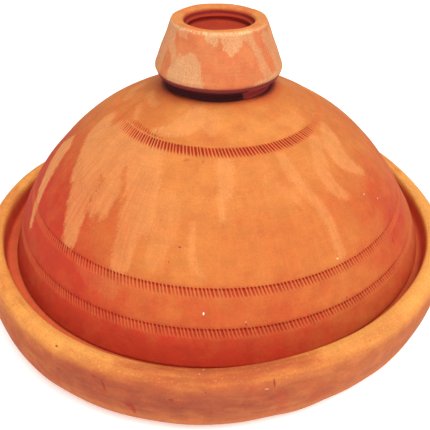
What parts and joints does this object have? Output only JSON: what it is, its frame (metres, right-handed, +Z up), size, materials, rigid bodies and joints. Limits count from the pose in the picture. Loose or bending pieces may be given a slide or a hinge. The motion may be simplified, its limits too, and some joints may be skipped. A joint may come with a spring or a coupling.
{
  "type": "tagine pot",
  "caption": "Round unglazed earthenware cooking pot: a shallow thick-rimmed dish under a domed lid that lifts off by a cup-shaped knob, with combed bands round the dome.",
  "frame": {"origin": "centre of the dish's flat foot, on the table", "axes": "+Z up along the pot's axis; the pot is round, and -Y is the side towards the viewer"},
  "size_m": [0.3002, 0.3002, 0.1655],
  "materials": {
    "dish_clay": "matte",
    "dome_clay": "matte",
    "knob_clay": "matte"
  },
  "bodies": {
    "dish": {"dish": "dish_clay"},
    "lid": {"lid_dome": "dome_clay", "lid_knob": "knob_clay"}
  },
  "joints": [
    {"name": "lid_lift", "type": "slide", "parent": "dish", "child": "lid", "axis": [0, 0, 1], "range_m": [0, 0.2]}
  ]
}
